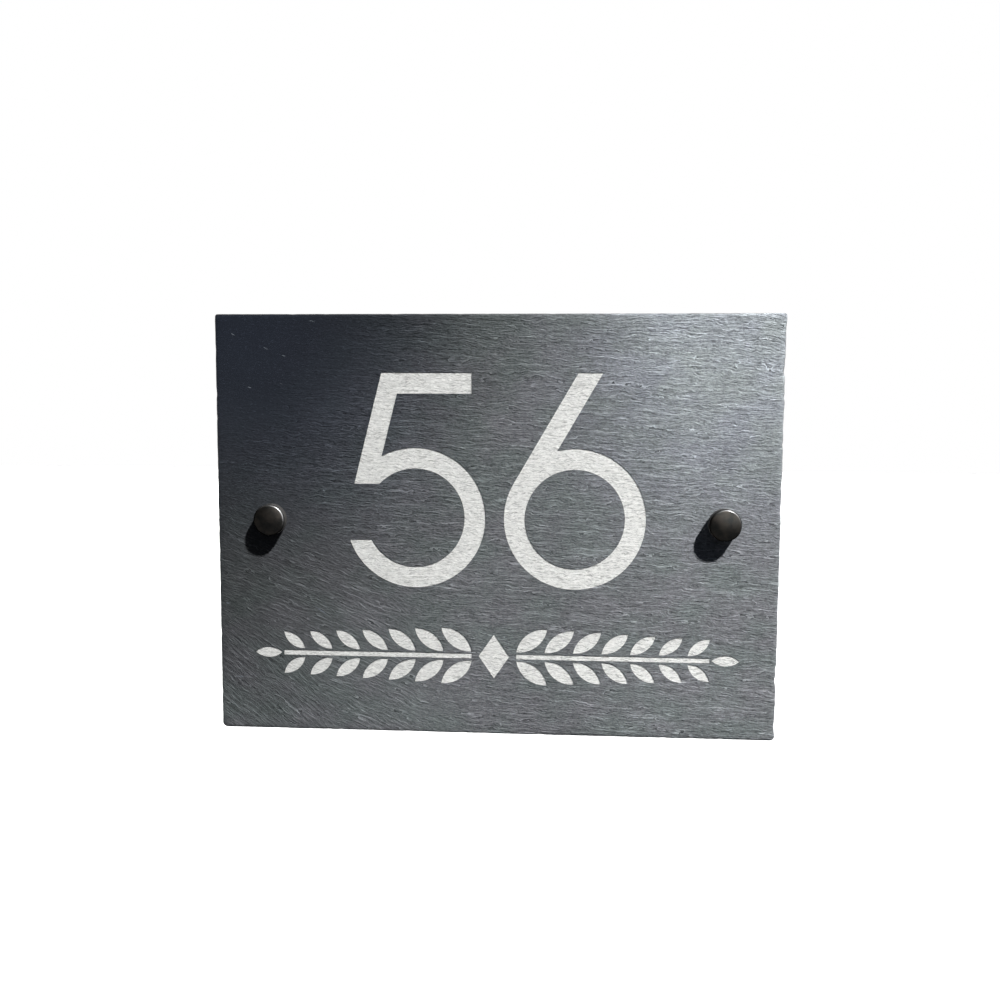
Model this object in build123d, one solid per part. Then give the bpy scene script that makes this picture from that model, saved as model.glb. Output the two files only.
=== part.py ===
from build123d import *
import os
from math import cos, radians, sin, sqrt, tan

# House number plaque: a flat slate with an engraved number and leaf sprig, held off the wall by two
# turned stand-off fixings. Millimetres. X runs right along the plaque and Z up. The wall is the
# plane Y = 0 and the plaque faces -Y. The origin is on the wall, midway between the two fixings.

# Slate
plaque_width = 200.0
plaque_height = 150.0
slate_thickness = 5.0
top_corner_radius = 0.9
bottom_corner_radius = 1.9
edge_ease = 0.5  # bevel that takes the sharpness off the front edge

# Fixing holes through the slate
hole_diameter = 8.6
hole_inset = 19.8  # from the slate's side edge to the hole's centre
hole_rise = 2.2  # the holes are drilled this far above mid-height

# Engraved number
engraving_depth = 0.15
numeral_height = 76.4
numeral_stroke = 7.4
bowl_diameter = 50.0
numeral_gap = 6.6  # between the two numerals
numeral_top_margin = 20.4  # from the slate's top edge to the top of the numerals
five_bar_inset = 13.0  # from the left of the five to the left end of its top bar
five_bar_reach = 45.0  # from the left of the five to the right end of its top bar
five_join_rise = 12.0  # the five's stem ends this far above the middle of its bowl
five_tail_drop = 8.0  # the five's tail is cut off level, this far below the middle of its bowl
six_lean = 60.0  # slope of the six's straight stroke, degrees above level

# Engraved leaf sprig under the number
sprig_bottom_margin = 28.5  # from the slate's bottom edge to the sprig's stem
sprig_reach = 87.0  # from the middle of the sprig to the tip of its end leaf
stem_width = 1.8
leaf_length = 14.0
leaf_width = 5.4
leaf_pairs = 7  # on each side of the middle
leaf_angle = 38.0  # between a leaf and the stem, degrees
leaf_gap = 0.7  # bare slate between the stem and the root of a leaf
leaf_taper = 0.3  # share of its length that the outermost leaf has lost
lozenge_width = 11.0
lozenge_height = 16.0
lozenge_gap = 2.5  # bare slate between the lozenge and the end of a stem

# Stand-off barrel
barrel_diameter = 11.2
barrel_length = 20.0
barrel_base = 3.0  # thickness of the wall that the wall screw clamps
barrel_chamfer = 0.4
thread_diameter = 7.2  # plain cylinder that stands for the cap's thread, at its pitch diameter
thread_clearance = 0.05  # radial, between the stud and the barrel's bore
thread_engagement = 9.0  # length of stud inside the barrel

# Cap
cap_diameter = 11.2
cap_side = 3.0  # height of the cap's straight side
cap_edge_radius = 0.9  # round between the side and the crowned face
cap_face_slope = 12.0  # of the crowned face where it runs into the edge round, degrees
stud_chamfer = 0.7

# Washers, one on each side of the slate
washer_diameter = 10.6
washer_thickness = 0.8
washer_clearance = 0.3  # radial, around the stud

# Wall screw
screw_diameter = 4.0  # over the thread, modelled plain
screw_neck_diameter = 3.0
screw_reach = 30.0  # from the wall face to the screw's tip
screw_point = 5.0  # length of the tapered point
screw_head_diameter = 6.4
screw_head_height = 2.2
screw_hole_clearance = 0.2  # radial, between the thread and the barrel's base
recess_width = 1.1  # one arm of the cross recess
recess_length = 3.6
recess_depth = 1.2

# Places along Y, from the wall outwards
barrel_front = -barrel_length
slate_back = barrel_front - washer_thickness
slate_front = slate_back - slate_thickness
cap_seat = slate_front - washer_thickness

# Places on the front face
plaque_centre = -hole_rise
plaque_top = plaque_centre + plaque_height / 2
plaque_bottom = plaque_centre - plaque_height / 2
fixing_offset = plaque_width / 2 - hole_inset
numeral_foot = plaque_top - numeral_top_margin - numeral_height
sprig_level = plaque_bottom + sprig_bottom_margin

front_plane = Plane(origin=(0, slate_front, 0), x_dir=(1, 0, 0), z_dir=(0, -1, 0))
places = {"left": Pos(-fixing_offset, 0, 0), "right": Pos(fixing_offset, 0, 0)}


# A turned piece: its half profile, in radius and Y, spun about the Y axis
def turned(profile):
    return revolve(make_face(profile), Axis.Y)


# A plain cylinder along Y between two places
def rod(radius, start, end):
    return extrude(Plane(origin=(0, start, 0), z_dir=(0, 1, 0)) * Circle(radius), end - start)


# Arc of a shallow dome in a turned profile, from its rim to its top on the axis
def dome(rim_radius, rim, rise):
    sphere = (rim_radius**2 + rise**2) / (2 * rise)
    halfway = rim_radius / 2
    drop = sphere - sqrt(sphere**2 - halfway**2)
    top = rim - rise
    return ThreePointArc((rim_radius, rim), (halfway, top + drop), (0, top))


# Ring of the numerals' stroke, with its foot on the base line and its left side on zero
def bowl():
    outer = bowl_diameter / 2
    return Pos(outer, outer) * (Circle(outer) - Circle(outer - numeral_stroke))


# Five: an open bowl, a leaning stem that the bowl springs from, and a bar along the top
def numeral_five():
    middle = bowl_diameter / 2
    join = middle + five_join_rise
    tail = middle - five_tail_drop
    mouth = Pos(0, tail) * Rectangle(middle, join - tail, align=(Align.MIN, Align.MIN))
    stem_foot = middle - sqrt(middle**2 - five_join_rise**2)
    stem = make_face(
        Polyline(
            (stem_foot, join),
            (stem_foot + numeral_stroke, join),
            (five_bar_inset + numeral_stroke, numeral_height),
            (five_bar_inset, numeral_height),
            close=True,
        )
    )
    bar_length = five_bar_reach - five_bar_inset - numeral_stroke / 2
    bar = Pos(five_bar_inset + numeral_stroke / 2, numeral_height) * Rectangle(
        bar_length, numeral_stroke, align=(Align.MIN, Align.MAX)
    )
    return (bowl() - mouth) + stem + bar


# Six: a closed bowl and a straight stroke that leaves it at a tangent, cut off level at the top
def numeral_six():
    middle = bowl_diameter / 2
    inner = middle - numeral_stroke
    lean = radians(six_lean)
    outside = (-sin(lean), cos(lean))
    rise_per_run = tan(lean)

    def tangent(radius):
        return middle + radius * outside[0], middle + radius * outside[1]

    def at_top(point):
        return point[0] + (numeral_height - point[1]) / rise_per_run, numeral_height

    outer_start = tangent(middle)
    inner_start = tangent(inner)
    stroke = make_face(
        Polyline(outer_start, inner_start, at_top(inner_start), at_top(outer_start), close=True)
    )
    return bowl() + stroke


# The two numerals side by side, centred over the sprig
def number():
    advance = bowl_diameter + numeral_gap
    left = -(advance + bowl_diameter) / 2
    return Pos(left, numeral_foot) * numeral_five() + Pos(left + advance, numeral_foot) * numeral_six()


# A leaf between two arcs, with its root on zero and its tip along X
def leaf(length, width):
    root = (0, 0)
    tip = (length, 0)
    upper = ThreePointArc(root, (length / 2, width / 2), tip)
    lower = ThreePointArc(tip, (length / 2, -width / 2), root)
    return make_face(upper + lower)


# Right-hand branch: a stem, pairs of leaves that shrink outwards, and a leaf at the end
def branch():
    start = lozenge_width / 2 + lozenge_gap
    end_length = leaf_length * (1 - leaf_taper)
    stem_end = sprig_reach - end_length - leaf_gap
    pitch = (stem_end - start - leaf_length * cos(radians(leaf_angle)) * (1 - leaf_taper)) / (leaf_pairs - 1)
    stem = Pos(start, 0) * Rectangle(stem_end - start, stem_width, align=(Align.MIN, Align.CENTER))
    pieces = [stem, Pos(stem_end + leaf_gap, 0) * leaf(end_length, leaf_width * (1 - leaf_taper))]
    for index in range(leaf_pairs):
        size = 1 - leaf_taper * index / (leaf_pairs - 1)
        for side in (1, -1):
            root = Pos(start + index * pitch, side * (stem_width / 2 + leaf_gap))
            pieces.append(root * Rot(0, 0, side * leaf_angle) * leaf(leaf_length * size, leaf_width * size))
    return Sketch() + pieces


# Sprig: a lozenge with a branch to each side
def sprig():
    right = branch()
    left = mirror(right, about=Plane.YZ)
    lozenge = make_face(
        Polyline(
            (lozenge_width / 2, 0),
            (0, lozenge_height / 2),
            (-lozenge_width / 2, 0),
            (0, -lozenge_height / 2),
            close=True,
        )
    )
    return Pos(0, sprig_level) * (Sketch() + [right, left, lozenge])


def slate_plaque():
    outline = Pos(0, plaque_centre) * Rectangle(plaque_width, plaque_height)
    outline = fillet(outline.vertices().group_by(Axis.Y)[0], bottom_corner_radius)
    outline = fillet(outline.vertices().group_by(Axis.Y)[-1], top_corner_radius)
    slab = extrude(front_plane * outline, -slate_thickness)
    front_edges = slab.faces().sort_by(Axis.Y)[0].outer_wire().edges()
    slab = chamfer(front_edges, edge_ease)
    engraving = extrude(front_plane * (number() + sprig()), -engraving_depth)
    holes = [place * rod(hole_diameter / 2, slate_front, slate_back) for place in places.values()]
    return slab - engraving - holes


# Cap: a crowned button with a rounded edge, turned in one piece with its stud
def cap():
    radius = cap_diameter / 2
    stud_radius = thread_diameter / 2
    stud_end = barrel_front + thread_engagement
    side_top = cap_seat - cap_side

    # the place on the edge round where it slopes by so many degrees
    def on_round(slope):
        return (
            radius - cap_edge_radius * (1 - sin(radians(slope))),
            side_top - cap_edge_radius * cos(radians(slope)),
        )

    face_rim = on_round(cap_face_slope)
    round_middle = on_round((cap_face_slope + 90) / 2)
    crown = face_rim[0] * tan(radians(cap_face_slope / 2))
    profile = (
        Polyline(
            (0, face_rim[1] - crown),
            (0, stud_end),
            (stud_radius - stud_chamfer, stud_end),
            (stud_radius, stud_end - stud_chamfer),
            (stud_radius, cap_seat),
            (radius, cap_seat),
            (radius, side_top),
        )
        + ThreePointArc((radius, side_top), round_middle, face_rim)
        + dome(*face_rim, crown)
    )
    return turned(profile)


def washer(seat):
    inner = thread_diameter / 2 + washer_clearance
    ring = rod(washer_diameter / 2, seat, seat + washer_thickness)
    return ring - rod(inner, seat, seat + washer_thickness)


# Barrel: a tube that the stud screws into, closed at the wall by a base with the screw's hole
def standoff_barrel():
    bore = thread_diameter / 2 + thread_clearance
    screw_hole = screw_diameter / 2 + screw_hole_clearance
    body = rod(barrel_diameter / 2, barrel_front, 0)
    rims = body.edges().filter_by(GeomType.CIRCLE)
    body = chamfer(rims, barrel_chamfer)
    return body - rod(bore, barrel_front, -barrel_base) - rod(screw_hole, -barrel_base, 0)


# Wall screw: pan head on the barrel's base, plain neck through it, thread from the wall on
def wall_screw():
    head_radius = screw_head_diameter / 2
    neck_radius = screw_neck_diameter / 2
    thread_radius = screw_diameter / 2
    head_seat = -barrel_base
    head_top = head_seat - screw_head_height
    rim_top = head_seat - screw_head_height / 3
    profile = (
        Polyline(
            (0, head_top),
            (0, screw_reach),
            (thread_radius, screw_reach - screw_point),
            (thread_radius, 0),
            (neck_radius, 0),
            (neck_radius, head_seat),
            (head_radius, head_seat),
            (head_radius, rim_top),
        )
        + dome(head_radius, rim_top, rim_top - head_top)
    )
    cross = Rectangle(recess_length, recess_width) + Rectangle(recess_width, recess_length)
    recess_plane = Plane(origin=(0, head_top, 0), x_dir=(1, 0, 0), z_dir=(0, 1, 0))
    return turned(profile) - extrude(recess_plane * cross, recess_depth)


# Identical fasteners, one at each fixing, as a group of separate solids
def pair(fastener):
    return Compound([place * fastener for place in places.values()])


nodes = {"slate_plaque": slate_plaque(), "caps": pair(cap()), "wall_screws": pair(wall_screw())}
for side, place in places.items():
    nodes[f"front_washer_{side}"] = place * washer(cap_seat)
    nodes[f"rear_washer_{side}"] = place * washer(slate_back)
    nodes[f"standoff_barrel_{side}"] = place * standoff_barrel()

os.makedirs("parts", exist_ok=True)
for name, solid in nodes.items():
    export_step(solid, f"parts/{name}.step")
    print(name, "volume", round(solid.volume, 1), "mm3")
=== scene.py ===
import bpy
import numpy as np
from mathutils import Euler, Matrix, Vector
from mathutils.geometry import delaunay_2d_cdt


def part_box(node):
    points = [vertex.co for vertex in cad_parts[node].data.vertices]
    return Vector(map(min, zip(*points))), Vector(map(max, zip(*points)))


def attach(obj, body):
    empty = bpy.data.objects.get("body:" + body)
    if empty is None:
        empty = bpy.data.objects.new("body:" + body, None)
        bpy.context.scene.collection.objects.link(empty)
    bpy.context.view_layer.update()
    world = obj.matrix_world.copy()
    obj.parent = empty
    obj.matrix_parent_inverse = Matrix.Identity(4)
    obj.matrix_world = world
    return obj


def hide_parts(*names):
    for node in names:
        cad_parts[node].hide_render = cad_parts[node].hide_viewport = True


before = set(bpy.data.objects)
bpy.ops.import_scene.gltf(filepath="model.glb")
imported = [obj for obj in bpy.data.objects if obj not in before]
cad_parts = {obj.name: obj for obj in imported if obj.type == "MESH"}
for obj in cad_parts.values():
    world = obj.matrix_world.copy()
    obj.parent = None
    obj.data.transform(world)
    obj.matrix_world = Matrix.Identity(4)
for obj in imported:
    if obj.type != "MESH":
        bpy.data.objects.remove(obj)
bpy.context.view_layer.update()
print("frame loaded:", len(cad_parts), "solids")

# Shapes are worked out in millimetres, in the frame's axes: x right, y towards the wall, z up.
# The plaque faces -y, so a larger y lies deeper in the slate.
millimetre = 0.001
hair = 0.01  # places closer than this count as one


# corners of a solid's box, in millimetres
def solidBox(name):
    low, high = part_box(name)
    return np.array(low) / millimetre, np.array(high) / millimetre


# a solid's corners and triangles, with corners in one place merged: places are rounded, then made unique
def solidMesh(name):
    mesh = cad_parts[name].data
    corners = np.empty(len(mesh.vertices) * 3, np.float32)
    mesh.vertices.foreach_get("co", corners)
    mesh.calc_loop_triangles()
    triangles = np.empty(len(mesh.loop_triangles) * 3, np.int32)
    mesh.loop_triangles.foreach_get("vertices", triangles)
    places = np.round(corners.reshape(-1, 3).astype(float) / millimetre, 3)
    places, merged = np.unique(places, axis=0, return_inverse=True)
    return places, merged.reshape(-1)[triangles].reshape(-1, 3)


# S curve: 0 below low, 1 above high, 3t^2 - 2t^3 between
def ease(value, low, high):
    t = np.clip((value - low) / (high - low), 0, 1)
    return t * t * (3 - 2 * t)


# gradient noise, brought to about -1 to 1 by the spread: every lattice corner has a seeded slope, and the
# four planes round a point are blended by the curve 6t^5 - 15t^4 + 10t^3
def rippleNoise(u, v, seed, lattice=256, spread=1.5):
    turns = np.random.default_rng(seed).uniform(0, 2 * np.pi, (lattice, lattice))
    column = np.floor(u).astype(int)
    row = np.floor(v).astype(int)
    s = u - column
    t = v - row

    # a corner's plane: its slope times the way from it
    def plane(i, j):
        turn = turns[(row + j) % lattice, (column + i) % lattice]
        return np.cos(turn) * (s - i) + np.sin(turn) * (t - j)

    fadeS = s**3 * (s * (6 * s - 15) + 10)
    fadeT = t**3 * (t * (6 * t - 15) + 10)
    lower = plane(0, 0) + fadeS * (plane(1, 0) - plane(0, 0))
    upper = plane(0, 1) + fadeS * (plane(1, 1) - plane(0, 1))
    return spread * (lower + fadeT * (upper - lower))


# even steps of one turn, in radians
def evenTurns(steps):
    return 2 * np.pi * np.arange(steps) / steps


# two triangles for each step along two closed rows of point numbers that run side by side
def bridge(near, far):
    nearAhead = np.roll(near, -1, axis=-1)
    farAhead = np.roll(far, -1, axis=-1)
    return np.concatenate([
        np.stack([near, far, farAhead], axis=-1).reshape(-1, 3),
        np.stack([near, farAhead, nearAhead], axis=-1).reshape(-1, 3),
    ])


# a mesh object at the origin from points in millimetres; sides that meet at more than the crease stay sharp
def makePiece(name, points, faces, crease=30):
    mesh = bpy.data.meshes.new(name)
    mesh.from_pydata((points * millimetre).tolist(), [], faces.tolist())
    mesh.shade_smooth()
    mesh.set_sharp_from_angle(angle=np.radians(crease))
    piece = bpy.data.objects.new(name, mesh)
    bpy.context.scene.collection.objects.link(piece)
    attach(piece, "root")
    return piece


# a number for every corner of a mesh, for its material to read
def addAttribute(piece, name, values):
    attribute = piece.data.attributes.new(name, "FLOAT", "POINT")
    attribute.data.foreach_set("value", values.astype(np.float32))


# the solid that a piece stands for, which is hidden, and the piece's material
def dress(piece, node, material):
    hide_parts(node)
    piece.data.materials.append(material)
    print(piece.name, "made:", len(piece.data.polygons), "faces")


# one value in a node tree; arithmetic on it adds Math nodes
class Wire:
    # the tree, the node that gives the value, and which of its outputs that is
    def __init__(self, tree, owner=None, output=0):
        self.tree = tree
        self.owner = owner
        self.output = output

    # any shader node: its settings first, then the values or links of its sockets
    def node(self, kind, settings=None, sockets=None, output=0):
        made = self.tree.nodes.new("ShaderNode" + kind)
        for name, value in (settings or {}).items():
            setattr(made, name, value)
        for name, value in (sockets or {}).items():
            if isinstance(value, Wire):
                self.tree.links.new(value.owner.outputs[value.output], made.inputs[name])
            else:
                made.inputs[name].default_value = value
        return Wire(self.tree, made, output)

    # another output of the same node
    def also(self, output):
        return Wire(self.tree, self.owner, output)

    # one Math node on two values
    def maths(self, operation, first, second=0.0):
        return self.node("Math", {"operation": operation}, {0: first, 1: second})

    # operators: this value first, or second where the name has an r
    def __add__(self, other):
        return self.maths("ADD", self, other)

    def __radd__(self, other):
        return self.maths("ADD", other, self)

    def __sub__(self, other):
        return self.maths("SUBTRACT", self, other)

    def __rsub__(self, other):
        return self.maths("SUBTRACT", other, self)

    def __mul__(self, other):
        return self.maths("MULTIPLY", self, other)

    def __rmul__(self, other):
        return self.maths("MULTIPLY", other, self)

    def __pow__(self, other):
        return self.maths("POWER", self, other)

    def __rpow__(self, other):
        return self.maths("POWER", other, self)

    def __abs__(self):
        return self.maths("ABSOLUTE", self)

    # S curve of this value: 0 at low, 1 at high, either way round
    def step(self, low, high):
        sockets = {"Value": self, "From Min": low, "From Max": high}
        return self.node("MapRange", {"interpolation_type": "SMOOTHSTEP"}, sockets)

    # colours a to b by a factor
    def blend(self, factor, a, b):
        return self.node("Mix", {"data_type": "RGBA"}, {0: factor, 6: a, 7: b}, 2)

    # a colour or vector times a number
    def scaled(self, vector, factor):
        return self.node("VectorMath", {"operation": "SCALE"}, {0: vector, "Scale": factor})

    # a number that the mesh keeps for its corners, or 0 where it keeps none
    def kept(self, name):
        return self.node("Attribute", {"attribute_name": name}, None, "Fac")

    # place on the piece, in millimetres
    def place(self):
        return self.scaled(self.node("TexCoord", None, None, "Object"), 1 / millimetre)

    # noise on a place in millimetres, turned about y. A pattern is its size along x, y and z, its detail,
    # its seed and, where it has clear edges, the two levels that become 0 and 1
    def grain(self, place, pattern, turn=0.0, rough=0.58):
        size, detail, seed, *edges = pattern
        sockets = {"Vector": place, "Angle": np.radians(turn)}
        turned = self.node("VectorRotate", {"rotation_type": "Y_AXIS"}, sockets)
        scale = [1 / length for length in size]
        stretched = self.node("VectorMath", {"operation": "MULTIPLY"}, {0: turned, 1: scale})
        sockets = {"Vector": stretched, "W": seed, "Scale": 1.0, "Detail": detail, "Roughness": rough}
        noise = self.node("TexNoise", {"noise_dimensions": "4D"}, sockets)
        return noise.step(*edges) if edges else noise

    # a normal from a height, of which 1 stands for the depth
    def bump(self, height, depth, strength=1.0):
        sockets = {"Strength": strength, "Distance": depth * millimetre, "Height": height}
        return self.node("Bump", None, sockets)


# an empty material and its tree, which shade() completes
def startMaterial(name):
    material = bpy.data.materials.new(name)
    material.use_nodes = True
    material.node_tree.nodes.clear()
    return material, Wire(material.node_tree)


# the shader with its sockets by name, at the end of a material's tree
def shade(tree, sockets):
    shader = tree.node("BsdfPrincipled", None, sockets)
    tree.node("OutputMaterial", None, {"Surface": shader})


# a grey as a colour: the level three times, opaque
def grey(level):
    return (level, level, level, 1)


# Camera and light, at the photograph's angle
viewpoint = {
    "place": (22.8, -356.0, 36.3),
    "aim": (1.86, -25.8, 7.68),  # a point on the slate's front
    "roll": 0.3,  # degrees
    "lens": 33.8,
    "sensor": 36.0,
    "nearest": 10.0,  # what is closer than this isn't drawn
}
studio = {
    # lamps: the way towards each, its strength, its width in degrees, and whether it only shows as gloss
    "lamps": {
        "keyLight": ((0.470, -0.423, 0.775), 7.0, 2.5, False),  # high on the right, with sharp shadows
        "keyGlow": ((0.470, -0.423, 0.775), 13.0, 29.0, True),  # round that light
        "backLight": ((-0.45, 0.72, 0.53), 2.4, 25.0, False),
        "sheenLight": ((0.40, -0.74, 0.54), 24.0, 76.0, True),  # a wide soft box
    },
    "fill": (0.009, 0.018, 0.036, 1),  # what the surroundings light the object with, a faint blue
    "floorDrop": 420.0,  # from the plaque's middle down to the floor
    "floorReach": 8000.0,
    "floorColour": 0.8,
    "floorBounce": 0.02,  # the floor's colour as the object's own surfaces see it
}


# the camera at its place, turned to look at the aim and then rolled about that line
def makeCamera(view):
    lens = bpy.data.cameras.new("camera")
    lens.lens = view["lens"]
    lens.sensor_width = view["sensor"]
    lens.clip_start = view["nearest"] * millimetre
    camera = bpy.data.objects.new("camera", lens)
    bpy.context.scene.collection.objects.link(camera)
    place = Vector(view["place"]) * millimetre
    look = (Vector(view["aim"]) * millimetre - place).to_track_quat("-Z", "Y")
    camera.location = place
    camera.rotation_mode = "QUATERNION"
    camera.rotation_quaternion = look @ Euler((0, 0, np.radians(view["roll"]))).to_quaternion()
    bpy.context.scene.camera = camera


# a lamp far off in one direction; a gloss lamp is mirrored by the surfaces but doesn't lighten them
def makeSun(name, towards, strength, width, glossOnly):
    lamp = bpy.data.lights.new(name, "SUN")
    lamp.energy = strength
    lamp.angle = np.radians(width)
    sun = bpy.data.objects.new(name, lamp)
    sun.rotation_mode = "QUATERNION"
    sun.rotation_quaternion = Vector(towards).to_track_quat("Z", "Y")
    sun.visible_diffuse = not glossOnly
    bpy.context.scene.collection.objects.link(sun)


# 1 for rays that show the surroundings themselves, 0 for rays that only carry light to the object
def showsBackground(tree):
    path = tree.node("LightPath", None, None, "Is Camera Ray")
    seen = path + path.also("Is Glossy Ray") + path.also("Is Transmission Ray")
    return tree.maths("MINIMUM", seen, 1.0)


# surroundings: white where they themselves are seen, the fill's colour where they only give light
def makeWorld(fill):
    world = bpy.data.worlds.new("studio")
    bpy.context.scene.world = world
    world.use_nodes = True
    world.node_tree.nodes.clear()
    tree = Wire(world.node_tree)
    colour = tree.blend(showsBackground(tree), fill, grey(1.0))
    background = tree.node("Background", None, {"Color": colour, "Strength": 1.0})
    tree.node("OutputWorld", None, {"Surface": background})


# a flat square well under the plaque, pale where it is seen and darker where it throws light back
def makeFloor(look):
    material, tree = startMaterial("pale floor")
    colour = tree.blend(showsBackground(tree), grey(look["floorBounce"]), grey(look["floorColour"]))
    paint = tree.node("BsdfDiffuse", None, {"Color": colour})
    tree.node("OutputMaterial", None, {"Surface": paint})
    corners = look["floorReach"] * np.array([[-1, -1], [1, -1], [1, 1], [-1, 1]])
    points = np.column_stack([corners, np.full(len(corners), -look["floorDrop"])])
    floor = makePiece("paleFloor", points, np.array([[0, 1, 2, 3]]))
    floor.data.materials.append(material)


bpy.context.scene.view_settings.view_transform = "Standard"
makeCamera(viewpoint)
for name, lamp in studio["lamps"].items():
    makeSun(name, *lamp)
makeWorld(studio["fill"])
makeFloor(studio)
print("camera and light set")

# Slate
slateForm = {
    # grids: steps along and across the grain, and how many of them stay clear of the first and last corner
    "frontGrid": ((1.25, 0.36), 0.6, 0.0),
    "backGrid": ((2.4, 0.9), 0.8, 0.5),
    "outlineStep": 0.8,
    "holeSteps": 48,
    "ledgeHeight": 0.04,  # of the thin ledges that the split left along the grain
    "ledgePitch": 1.25,
    "ledgeCrest": 0.65,  # where the crest lies on the way from one ledge's foot to the next
    "wander": ((17.0, 13.0, 1.3), (5.0, 3.0, 0.5), (2.2, 1.2, 0.24)),  # bends: length, width and reach
    "dash": (3.2, 0.9, 0.55),  # short rises on the ledges: length, width and share of their height
    "breaks": (4.6, 1.5, 0.12, 93),  # where ledges fade out: length, width, least strength and seed
    "breakEdge": (-0.5, 0.4),  # levels of that noise where they are gone and where they are whole
    "waveHeight": 0.05,  # slow waves that the split left
    "waveSize": (26.0, 19.0),
    "turns": (-3.0, -21.0, -37.0),  # the grain's slope, on most of the face and to the lower left
    "grains": ("levelLedges", "slopedLedges", "steepLedges"),
    "turnPitch": (1.0, 1.1, 1.25),  # the turned grain is coarser
    "turnReach": (30.0, 50.0, 70.0, 96.0),  # distances from that corner where one slope fades to the next
    "turnWobble": (30.0, 7.0, 91),  # noise on those distances: size, reach and seed
    "calm": (0.10, 28.0, 72.0),  # the smooth upper left: share of the grain there, and where it fades
    "calmWobble": (22.0, 8.0, 92),
    "frontSplit": (1.0, 10),  # how coarse the split is, and the first of its seeds
    "backSplit": (2.2, 200),
    "pad": (7.0, 10.5),  # ground flat round the fixings, and where the grain is back in full
    "edgeRound": 0.10,  # a face falls away by this at its edge
    "edgeRoundReach": 1.4,
    "frontInset": 0.45,  # of the broken front edge
    "backInset": 0.3,
    "chip": 0.55,
    "chipSize": (4.0, 31.0, 71),  # length of one chip, of the slower change along the edge, and seed
    "chipFrom": 0.2,  # level of the noise where a chip starts
    "chipDepth": 1.8,
    "edgeShares": (0.7, 2.3, 0.6, 0.35),  # how uneven the left, right, bottom and top edges are
    "cornerShare": (0.35, 1.5, 6.0),  # the same at the corners, and distances where it fades to a side's own
    "sideRings": (0.35, 0.9, 1.5, 2.1, 2.7, 3.3, 3.9, 4.4, 4.8),  # depths of the split side's ledges
    "sideLedges": ((7.0, 0.7, 0.16, 72), (1.7, 0.5, 0.08, 73)),  # length, width, reach and seed
    "crease": 38,
}


# closed outlines round some triangles: the sides that only one triangle has lead one to the next, and all
# outlines are walked side by side; what they enclose lies on the left
def outlinesRound(triangles):
    sides = np.concatenate([triangles[:, [0, 1]], triangles[:, [1, 2]], triangles[:, [2, 0]]])
    size = triangles.max() + 1
    code = sides.min(axis=1).astype(np.int64) * size + sides.max(axis=1)
    kind, count = np.unique(code, return_inverse=True, return_counts=True)[1:]
    rim = sides[count[kind.reshape(-1)] == 1]
    following = np.arange(size)
    following[rim[:, 0]] = rim[:, 1]
    first = np.arange(size)
    hop = following.copy()
    for _ in range(int(np.ceil(np.log2(len(rim)))) + 1):
        first = np.minimum(first, first[hop])
        hop = hop[hop]
    heads, sizes = np.unique(first[rim[:, 0]], return_counts=True)
    walk = [heads]
    for _ in range(sizes.max() - 1):
        walk.append(following[walk[-1]])
    walk = np.array(walk)
    return [walk[:length, column] for column, length in enumerate(sizes)]


# for sides that are cut into so many pieces: the side of each new point, and its share of the way along it
def alongSides(pieces):
    owner = np.repeat(np.arange(len(pieces)), pieces)
    share = (np.arange(len(owner)) - (np.cumsum(pieces) - pieces)[owner]) / pieces[owner]
    return owner, share[:, None]


# a closed outline with more points, and its direction there: each side is a cubic from corner to corner
# whose slope at a corner is that of its two sides together, weighed by the square of their lengths, or its
# own where the corner is sharp
def smoothOutline(corners, step, sharp=25.0):
    side = np.roll(corners, -1, axis=0) - corners
    length = np.linalg.norm(side, axis=1)
    along = side / length[:, None]
    before = np.roll(along, 1, axis=0)
    shared = along * length[:, None] ** 2 + before * np.roll(length, 1)[:, None] ** 2
    shared /= np.linalg.norm(shared, axis=1)[:, None]
    gentle = np.sum(along * before, axis=1) > np.cos(np.radians(sharp))
    leave = np.where(gentle[:, None], shared, along)
    arrive = np.where(np.roll(gentle, -1)[:, None], np.roll(shared, -1, axis=0), along)
    owner, t = alongSides(np.ceil(length / step).astype(int))
    start = corners[owner]
    end = np.roll(corners, -1, axis=0)[owner]
    slopeA = (leave * length[:, None])[owner]
    slopeB = (arrive * length[:, None])[owner]
    points = (
        (2 * t**3 - 3 * t**2 + 1) * start
        + (t**3 - 2 * t**2 + t) * slopeA
        + (3 * t**2 - 2 * t**3) * end
        + (t**3 - t**2) * slopeB
    )
    slope = 6 * (t**2 - t) * (start - end) + (3 * t**2 - 4 * t + 1) * slopeA + (3 * t**2 - 2 * t) * slopeB
    return points, slope / np.linalg.norm(slope, axis=1)[:, None]


# a staggered grid between two corners; the grid point nearest to each outline point makes way for it
def gridPoints(low, high, step, outline):
    columns, rows = np.floor((high - low) / step).astype(int)
    keep = np.ones((rows, columns), bool)
    row = np.rint((outline[:, 1] - low[1]) / step[1]).astype(int)
    column = np.rint((outline[:, 0] - low[0]) / step[0] - 0.5 * (row % 2)).astype(int)
    inside = (row >= 0) & (row < rows) & (column >= 0) & (column < columns)
    keep[row[inside], column[inside]] = False
    x = low[0] + (np.arange(columns)[None, :] + 0.5 * (np.arange(rows)[:, None] % 2)) * step[0]
    z = low[1] + np.repeat(np.arange(rows)[:, None], columns, axis=1) * step[1]
    return np.stack([x[keep], z[keep]], axis=1)


# an outline the left way round: turned about if twice its area, the sum of x dz - z dx, is negative
def leftTurning(points, loop):
    x, z = points[loop].T
    return loop if np.sum(x * np.roll(z, -1) - z * np.roll(x, -1)) > 0 else loop[::-1]


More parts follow.
